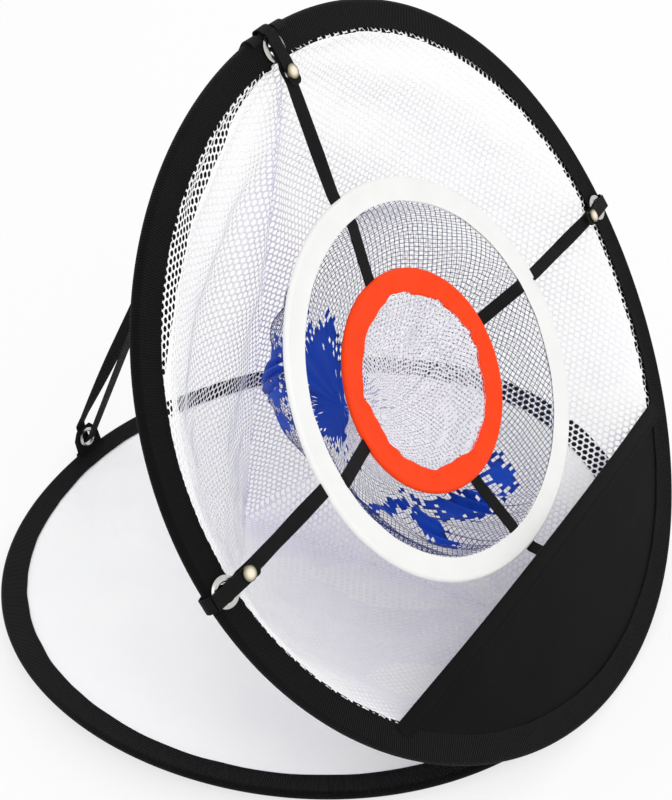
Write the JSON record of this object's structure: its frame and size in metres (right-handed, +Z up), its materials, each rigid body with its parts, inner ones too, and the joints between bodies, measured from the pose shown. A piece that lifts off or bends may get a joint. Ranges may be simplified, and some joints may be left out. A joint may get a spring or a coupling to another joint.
{
  "type": "golf chipping net",
  "caption": "Pop-up golf chipping net: a round net target with ringed pockets leans back from a ground hoop, held by a rear strap.",
  "frame": {"origin": "on the ground, under the middle of the object's outline", "axes": "+Z up, -Y towards the golfer, +Y to the rear, +X to the right of the target seen from the golfer"},
  "size_m": [0.5268, 0.5223, 0.4486],
  "materials": {
    "spring_wire": "drawn spring wire, lightly oiled",
    "black_binding": "ribbed polyester binding tape, satin",
    "black_webbing": "doubled polyester webbing",
    "black_elastic": "woven elastic strap, matt",
    "black_cloth": "tightly woven polyester cloth, satin",
    "white_cloth": "plain woven polyester cloth",
    "white_net": "knitted polyester net with six-sided holes",
    "blue_net": "fine knitted net with diamond holes",
    "white_binding": "plain woven binding tape",
    "orange_binding": "plain woven binding tape, bright",
    "nickel": "nickel plate, polished",
    "snap_plate": "pale champagne plate, polished"
  },
  "bodies": {
    "ground_frame": {"base_wire": "spring_wire", "base_binding": "black_binding", "base_panel": "white_cloth", "hinge_web": "black_binding", "rear_tab": "black_webbing", "rear_eyelet": "nickel", "rear_strap": "black_elastic"},
    "target_frame": {"face_wire": "spring_wire", "face_binding": "black_binding", "front_panel": "black_cloth", "catch_net": "white_net", "top_eyelet": "nickel", "right_eyelet": "nickel", "left_eyelet": "nickel", "top_strap": "black_elastic", "right_strap": "black_elastic", "left_strap": "black_elastic", "bottom_strap": "black_elastic", "top_stud": "nickel", "right_stud": "nickel", "left_stud": "nickel"},
    "middle_ring": {"middle_ring_wire": "spring_wire", "middle_ring_binding": "white_binding", "blue_pocket": "blue_net", "inner_strap_top": "black_elastic", "inner_strap_right": "black_elastic", "inner_strap_left": "black_elastic", "inner_strap_bottom": "black_elastic"},
    "inner_ring": {"inner_ring_wire": "spring_wire", "inner_ring_binding": "orange_binding", "white_pocket": "white_net"},
    "top_tail": {"top_tail": "black_elastic", "top_snap_cap": "snap_plate", "top_snap_socket": "nickel"},
    "right_tail": {"right_tail": "black_elastic", "right_snap_cap": "snap_plate", "right_snap_socket": "nickel"},
    "left_tail": {"left_tail": "black_elastic", "left_snap_cap": "snap_plate", "left_snap_socket": "nickel"}
  },
  "joints": [
    {"name": "face_fold", "type": "hinge", "parent": "ground_frame", "child": "target_frame", "pos_m": [0, -0.251, 0.0085], "axis": [-1, 0, 0], "range_deg": [0, 40], "stiffness_Nm_per_rad": 4, "springref_deg": -51.57, "deforming": ["catch_net", "rear_strap", "blue_pocket", "white_pocket"]},
    {"name": "middle_ring_give", "type": "slide", "parent": "target_frame", "child": "middle_ring", "axis": [0, -0.8545, 0.5195], "range_m": [-0.03, 0.012], "stiffness_N_per_m": 90, "deforming": ["top_strap", "right_strap", "left_strap", "bottom_strap"]},
    {"name": "inner_ring_give", "type": "slide", "parent": "middle_ring", "child": "inner_ring", "axis": [0, -0.8545, 0.5195], "range_m": [-0.02, 0.008], "stiffness_N_per_m": 60, "deforming": ["inner_strap_top", "inner_strap_right", "inner_strap_left", "inner_strap_bottom"]},
    {"name": "top_tail_lift", "type": "hinge", "parent": "target_frame", "child": "top_tail", "pos_m": [-0.01123, 0.00432, 0.44556], "axis": [-0.999, -0.0227, -0.0373], "range_deg": [0, 70]},
    {"name": "right_tail_lift", "type": "hinge", "parent": "target_frame", "child": "right_tail", "pos_m": [0.25821, -0.10832, 0.22351], "axis": [-0.0349, 0.5192, 0.8539], "range_deg": [0, 70]},
    {"name": "left_tail_lift", "type": "hinge", "parent": "target_frame", "child": "left_tail", "pos_m": [-0.25838, -0.11277, 0.21566], "axis": [0, -0.5195, -0.8545], "range_deg": [0, 70]}
  ]
}
